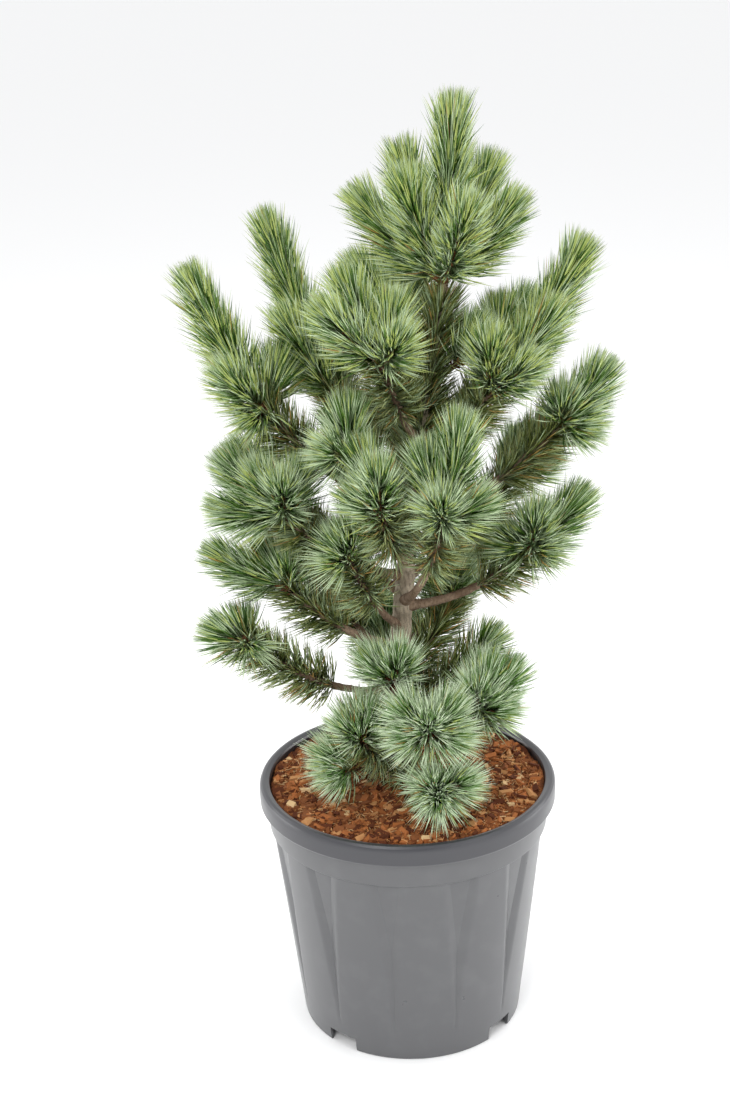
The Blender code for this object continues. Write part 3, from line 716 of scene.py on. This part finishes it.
def makeNeedles(massNodes):
    materials = tintMaterials()
    pieces = [([], [])]
    oldSprays = []
    held = 0
    for name, bough in boughs.items():
        tone = "blue" if name in blueLitMasses else "lime" if name in limeMasses else "green"
        fresh, old = massNeedles(name, bough)
        fresh = spray(fresh, tones[tone])
        if old is not None:
            oldSprays.append(spray(old, tones["old"]))
        if held + len(fresh[0]) > needleSet["mostInPiece"]:
            pieces.append(([], []))
            held = 0
        sprays, nodes = pieces[-1]
        sprays.append(fresh)
        nodes.append("needles_" + name)
        held += len(fresh[0])
    for number, (sprays, nodes) in enumerate(pieces, 1):
        needlePiece(f"freshNeedles_{number}", sprays, nodes, materials)
    half = len(oldSprays) // 2
    for number, sprays in enumerate((oldSprays[:half], oldSprays[half:]), 1):
        needlePiece(f"oldNeedles_{number}", sprays, massNodes, materials)


# Bud scales: a dark red-brown knot of scales at each whorl
scaleSet = {
    "count": 22, "length": 0.0062, "width": 0.0026, "halfThick": 0.0004, "ring": 0.0026,
    "climb": 0.010, "sunk": 0.004, "pale": (0.22, 0.085, 0.035), "dark": (0.07, 0.025, 0.015),
}


def makeBudScales(massNodes):
    shape = bmesh.new()
    for bough in boughs.values():
        whorl = boughPoint(bough, 1.0)
        ahead = heading(bough.turn, bough.rise)
        for k in range(scaleSet["count"]):
            side = Matrix.Rotation(k * goldenTurn, 3, ahead) @ ahead.orthogonal().normalized()
            lift = k / scaleSet["count"]
            foot = whorl + ahead * (scaleSet["climb"] * lift - scaleSet["sunk"]) + side * scaleSet["ring"]
            aim = (side * (0.9 - 0.5 * lift) + ahead * (0.4 + 0.6 * lift)).normalized()
            wing = aim.cross(side + ahead * 0.3).normalized() * scaleSet["width"] / 2
            thick = aim.cross(wing).normalized() * scaleSet["halfThick"]
            size = scaleSet["length"] * chance.uniform(0.7, 1.1)
            corners = [foot - wing * 0.6, foot + wing * 0.6, foot + aim * size * 0.5 + wing,
                       foot + aim * size, foot + aim * size * 0.5 - wing]
            front = [shape.verts.new(corner + thick) for corner in corners]
            back = [shape.verts.new(corner - thick) for corner in corners]
            shape.faces.new(front)
            shape.faces.new(list(reversed(back)))
            for first, second in zip(range(5), (1, 2, 3, 4, 0)):
                shape.faces.new((front[second], front[first], back[first], back[second]))
    bmesh.ops.recalc_face_normals(shape, faces=shape.faces)
    mesh = bpy.data.meshes.new("budScales")
    shape.to_mesh(mesh)
    shape.free()
    scales = added("budScales", mesh)
    mesh.materials.append(spottedPaint("budScale", (0.16, 0.055, 0.025), 0.75, 0.2, 500.0, 3.0,
                                       scaleSet["pale"], scaleSet["dark"]))
    shown(scales, "bark", *massNodes)


# Pot: turned from its profile, with pressed wedge flutes, a rolled rim and notches in its foot
potSet = {
    "rim": 0.1533, "crest": 0.1472, "rimDepth": 0.022, "collar": 0.1458, "collarDepth": 0.028,
    "body": 0.1412, "foot": 0.1160, "wall": 0.003, "flutes": 12, "fluteTurn": 20.0, "fluteDepth": 0.0075,
    "fluteHalf": 7.8, "fluteFoot": 0.032, "floor": 0.021, "steps": 360, "notches": 4, "notchTurn": 50.0,
    "notchWidth": 0.034, "notchHeight": 0.016, "notchReach": 0.03, "bodyRows": 40, "footEdge": 0.0012,
    "merge": 0.00005,
    # The rim's tint is painted shade, for the dark reflection on the rim's turned face
    "tint": (0.085, 0.086, 0.090), "dustTint": (0.12, 0.121, 0.125), "rimPaintedShade": (0.034, 0.034, 0.040),
}
# The rounded turns of the profile, each point as outwards and downwards from its own corner
potTurns = {
    "lip": ((-0.0050, 0.0100), (-0.0050, 0.0040), (-0.0040, 0.0018), (-0.0020, 0.0006), (0.0004, 0.0),
            (0.0030, 0.0006)),
    "edge": ((-0.0012, 0.0026), (-0.0003, 0.0052), (0.0, 0.0090)),
    "under": ((-0.0003, -0.0016), (-0.0010, -0.0003), (-0.0022, 0.0)),
    "neck": ((0.0010, 0.0), (0.0, 0.0010)),
    "step": ((-0.0016, -0.0030), (-0.0021, -0.0012), (-0.0030, -0.0003)),
}


def turned(name, radius, height):
    return [(radius + out, height - down) for out, down in potTurns[name]]


def potProfile():
    p = potSet
    underRim = potHeight - p["rimDepth"]
    collarFoot = underRim - p["collarDepth"]
    rows = [(0.0, p["floor"]), (p["foot"] - p["wall"], p["floor"]), (p["body"] - p["wall"], collarFoot)]
    rows += turned("lip", p["crest"], potHeight) + turned("edge", p["rim"], potHeight)
    rows += turned("under", p["rim"], underRim) + turned("neck", p["collar"], underRim)
    rows += turned("step", p["collar"], collarFoot) + [(p["body"], collarFoot)]
    for k in range(1, p["bodyRows"] + 1):
        share = k / p["bodyRows"]
        radius = p["body"] + (p["foot"] - p["body"]) * share
        rows.append((radius, collarFoot * (1 - share) + p["footEdge"] * share))
    rows += [(p["foot"] - p["footEdge"], 0.0), (p["foot"] - p["wall"], 0.0),
             (p["foot"] - p["wall"] / 2, p["floor"] - p["wall"]), (0.0, p["floor"] - p["wall"])]
    return rows


def pressFlutes(mesh):
    # Each flute is a wedge: a point near the foot, widest and deepest under the collar
    p = potSet
    top = potHeight - p["rimDepth"] - p["collarDepth"]
    for vertex in mesh.vertices:
        radius = math.hypot(vertex.co.x, vertex.co.y)
        height = vertex.co.z
        if height > top + 0.0002 or height < p["fluteFoot"] or radius < p["foot"] - 0.001:
            continue
        wall = p["foot"] + (p["body"] - p["foot"]) * height / top
        if radius < wall - 0.0012:
            continue
        share = (height - p["fluteFoot"]) / (top - p["fluteFoot"])
        turn = math.degrees(math.atan2(vertex.co.y, vertex.co.x)) - p["fluteTurn"]
        gap = 360.0 / p["flutes"]
        off = abs((turn + gap / 2) % gap - gap / 2)
        half = p["fluteHalf"] * max(0.05, share)
        if off < half:
            press = p["fluteDepth"] * max(0.1, share) * (1 - off / half)
            vertex.co.x *= (radius - press) / radius
            vertex.co.y *= (radius - press) / radius


def potPaint():
    paint = Paint("potPlastic", potSet["tint"], 0.30, 0.7)
    scuffs = paint.noise(38.0, 6.0)
    grain = paint.noise(900.0, 2.0)
    dust = paint.mask(scuffs, 0.50, 0.72)
    body = paint.mix(dust * 0.35, (*potSet["tint"], 1), (*potSet["dustTint"], 1))
    height = paint.node("ShaderNodeSeparateXYZ", None, {"Vector": paint.place()}, 2)
    # The rim band is painted darker: painted shade for the dark reflection on the rim's turned face
    rim = paint.mask((height - (potHeight - potSet["rimDepth"])) * 400.0, 0.0, 1.0)
    paint.colour(paint.mix(rim, body, (*potSet["rimPaintedShade"], 1)))
    paint.roughness(0.24 + 0.12 * scuffs)
    paint.bump(grain, 0.12, 0.0002)
    return paint.material


def makePot():
    mesh = bpy.data.meshes.new("potShell")
    rows = [(radius, 0.0, height) for radius, height in potProfile()]
    mesh.from_pydata(rows, [(k, k + 1) for k in range(len(rows) - 1)], [])
    pot = added("potShell", mesh)
    pick(pot)
    turning = pot.modifiers.new("turning", "SCREW")
    turning.steps = turning.render_steps = potSet["steps"]
    turning.use_merge_vertices = True
    turning.merge_threshold = potSet["merge"]
    bpy.ops.object.modifier_apply(modifier="turning")
    pressFlutes(pot.data)
    for k in range(potSet["notches"]):
        turn = math.radians(potSet["notchTurn"] + k * 360.0 / potSet["notches"])
        place = (potSet["foot"] * math.cos(turn), potSet["foot"] * math.sin(turn), 0.0)
        deselect()
        bpy.ops.mesh.primitive_cube_add(size=1.0, rotation=(0.0, 0.0, turn), location=place)
        cutter = bpy.context.object
        cutter.scale = (potSet["notchReach"], potSet["notchWidth"], potSet["notchHeight"] * 2)
        bpy.ops.object.transform_apply(location=True, rotation=True, scale=True)
        pick(pot)
        cut = pot.modifiers.new("notch", "BOOLEAN")
        cut.operation = "DIFFERENCE"
        cut.object = cutter
        bpy.ops.object.modifier_apply(modifier="notch")
        bpy.data.objects.remove(cutter, do_unlink=True)
    facedOut(pot, potSet["merge"])
    bpy.ops.object.shade_smooth_by_angle(angle=math.radians(24))
    pot.data.materials.append(potPaint())
    shown(pot, "pot_plastic", "pot")


# Compost: a lumpy bed, with chips and fibres of coir and bark strewn over it
compostSet = {"edge": 0.1415, "squares": 150, "dish": 0.0035, "sunk": 0.002, "depth": 0.030}
# The bed's lumps: how many to a metre, how high, and where their noise is read
compostLumps = ((38, 0.0045, 0.3), (95, 0.0030, 4.7), (260, 0.0016, 9.1))
compostTints = {
    "rust": (0.36, 0.125, 0.040), "dark": (0.095, 0.028, 0.012), "brown": (0.22, 0.078, 0.029),
    "tan": (0.50, 0.245, 0.100), "straw": (0.62, 0.42, 0.22),
}


def compostLevel(x, y):
    radius = math.hypot(x, y) / compostSet["edge"]
    level = compostTop - compostSet["dish"] * radius ** 2 - compostSet["sunk"]
    for number, height, layer in compostLumps:
        level += height * noise.noise(Vector((x * number, y * number, layer)))
    return level


def makeCompostBed():
    # A square grid drawn in to a round one, then given a side and a flat underside
    deselect()
    squares, size = compostSet["squares"], 2 * compostSet["edge"]
    bpy.ops.mesh.primitive_grid_add(x_subdivisions=squares, y_subdivisions=squares, size=size)
    bed = bpy.context.object
    bed.name = bed.data.name = "compostBed"
    for vertex in bed.data.vertices:
        x, y = vertex.co.x, vertex.co.y
        widest = max(abs(x), abs(y))
        if widest > 0:
            shrink = widest / math.hypot(x, y)
            x, y = x * shrink, y * shrink
        vertex.co = (x, y, min(compostLevel(x, y), compostTop + compostSet["sunk"]))
    pick(bed)
    bpy.ops.object.mode_set(mode="EDIT")
    bpy.ops.mesh.select_all(action="SELECT")
    bpy.ops.mesh.region_to_loop()
    bpy.ops.mesh.extrude_region_move(TRANSFORM_OT_translate={"value": (0.0, 0.0, -compostSet["depth"])})
    bpy.ops.mesh.edge_face_add()
    bpy.ops.mesh.select_all(action="SELECT")
    bpy.ops.mesh.normals_make_consistent(inside=False)
    bpy.ops.object.mode_set(mode="OBJECT")
    bpy.ops.object.shade_smooth()
    paint = Paint("compostBed", compostTints["brown"], 0.95, 0.15)
    coarse = paint.noise(120.0, 6.0)
    fine = paint.noise(700.0, 5.0)
    colour = paint.ramp(coarse, ((0.30, compostTints["dark"]), (0.48, compostTints["brown"]),
                                 (0.60, compostTints["rust"]), (0.78, compostTints["tan"])))
    specks = paint.ramp(fine, ((0.40, (0.7, 0.7, 0.7)), (0.60, black)))
    paint.colour(paint.mix(specks, colour, (*compostTints["dark"], 1)))
    paint.bump(fine + coarse, 0.8, 0.0015)
    bed.data.materials.append(paint.material)
    shown(bed, "compost", "compost")


def strewn(name, blocks, faces, shares):
    # One joined piece of equal blocks of corners, each block in one of the compost's tints
    mesh = bpy.data.meshes.new(name)
    starts = np.arange(len(blocks))[:, None, None] * len(blocks[0])
    allFaces = (np.array(faces)[None] + starts).reshape(-1, 3)
    mesh.from_pydata(np.concatenate(blocks).tolist(), [], allFaces.tolist())
    tone = draws.choice(len(shares), len(blocks), p=shares)
    mesh.polygons.foreach_set("material_index", np.repeat(tone, len(faces)).astype(np.int32))
    for tint, colour in compostTints.items():
        mesh.materials.append(Paint(name + "_" + tint, colour, 0.9, 0.15).material)
    item = added(name, mesh)
    facedOut(item)
    shown(item, "compost", "compost")


def strewSpot(margin):
    edge = compostSet["edge"]
    while True:
        x, y = chance.uniform(-1, 1) * edge, chance.uniform(-1, 1) * edge
        if math.hypot(x, y) < edge - margin:
            return x, y


fullTurn = 6.28  # radians, near enough for what lies at random
# The shares of both sets follow the order of the compost's tints
chipSet = {
    "count": 9500, "margin": 0.006, "least": 0.0006, "spread": 0.0042, "rarity": 5.0, "tilt": 0.7,
    "long": (0.8, 1.9), "wide": (0.5, 1.0), "thick": (0.3, 0.7), "rough": (0.55, 1.1), "lift": 0.25,
    "shares": (0.30, 0.24, 0.30, 0.12, 0.04),
}


def makeChips():
    # A chip is a rough eight-cornered crumb, squashed and turned at random
    corners = [(x, y, z) for x in (-1, 1) for y in (-1, 1) for z in (-1, 1)]
    faces = [(0, 1, 3), (0, 3, 2), (4, 6, 7), (4, 7, 5), (0, 4, 5), (0, 5, 1),
             (2, 3, 7), (2, 7, 6), (0, 2, 6), (0, 6, 4), (1, 5, 7), (1, 7, 3)]
    blocks = []
    for _ in range(chipSet["count"]):
        x, y = strewSpot(chipSet["margin"])
        size = chipSet["least"] + chipSet["spread"] * chance.random() ** chipSet["rarity"]
        squash = [size * chance.uniform(*chipSet[side]) for side in ("long", "wide", "thick")]
        turn = Matrix.Rotation(chance.uniform(0, fullTurn), 3, "Z")
        tilt = Matrix.Rotation(chance.uniform(-chipSet["tilt"], chipSet["tilt"]), 3, "X")
        middle = Vector((x, y, compostLevel(x, y) + size * chipSet["lift"]))
        block = []
        for corner in corners:
            rough = [side * half * chance.uniform(*chipSet["rough"]) for side, half in zip(corner, squash)]
            block.append(tuple(middle + turn @ tilt @ Vector(rough)))
        blocks.append(np.array(block))
    strewn("compostChips", blocks, faces, chipSet["shares"])


fibreSet = {
    "count": 6500, "margin": 0.012, "length": (0.004, 0.014), "thick": (0.00022, 0.00055), "bend": 0.5,
    "lift": 0.0006, "arch": 0.0012, "ends": (-0.001, 0.0018), "shares": (0.34, 0.14, 0.18, 0.24, 0.10),
}


def makeFibres():
    # A fibre is a bent three-sided thread lying on the bed
    faces = []
    for ring in (0, 3):
        for k in range(3):
            a, b = ring + k, ring + (k + 1) % 3
            faces += [(a, b, b + 3), (a, b + 3, a + 3)]
    faces += [(0, 2, 1), (6, 7, 8)]
    spins = [k * 2.0944 for k in range(3)]
    blocks = []
    for _ in range(fibreSet["count"]):
        x, y = strewSpot(fibreSet["margin"])
        turn = chance.uniform(0, fullTurn)
        length = chance.uniform(*fibreSet["length"])
        thick = chance.uniform(*fibreSet["thick"])
        bend = chance.uniform(-fibreSet["bend"], fibreSet["bend"])
        block = []
        for place in (-0.5, 0.0, 0.5):
            angle = turn + bend * place
            px, py = x + math.cos(angle) * length * place, y + math.sin(angle) * length * place
            rise = chance.uniform(*fibreSet["ends"]) if place else fibreSet["arch"]
            height = compostLevel(px, py) + fibreSet["lift"] + rise
            for spin in spins:
                out = math.cos(spin) * thick
                block.append((px - math.sin(angle) * out, py + math.cos(angle) * out,
                              height + math.sin(spin) * thick))
        blocks.append(np.array(block))
    strewn("compostFibres", blocks, faces, fibreSet["shares"])


massNodes = ["needles_" + name for name in boughs]
addCamera()
addStudio()
print("studio ready")
makePot()
print("pot made")
makeCompostBed()
makeChips()
makeFibres()
print("compost made")
makeTrunk()
makeBoughs()
makeShoots(massNodes)
makeBudScales(massNodes)
print("wood made")
makeNeedles(massNodes)
print("needles made")
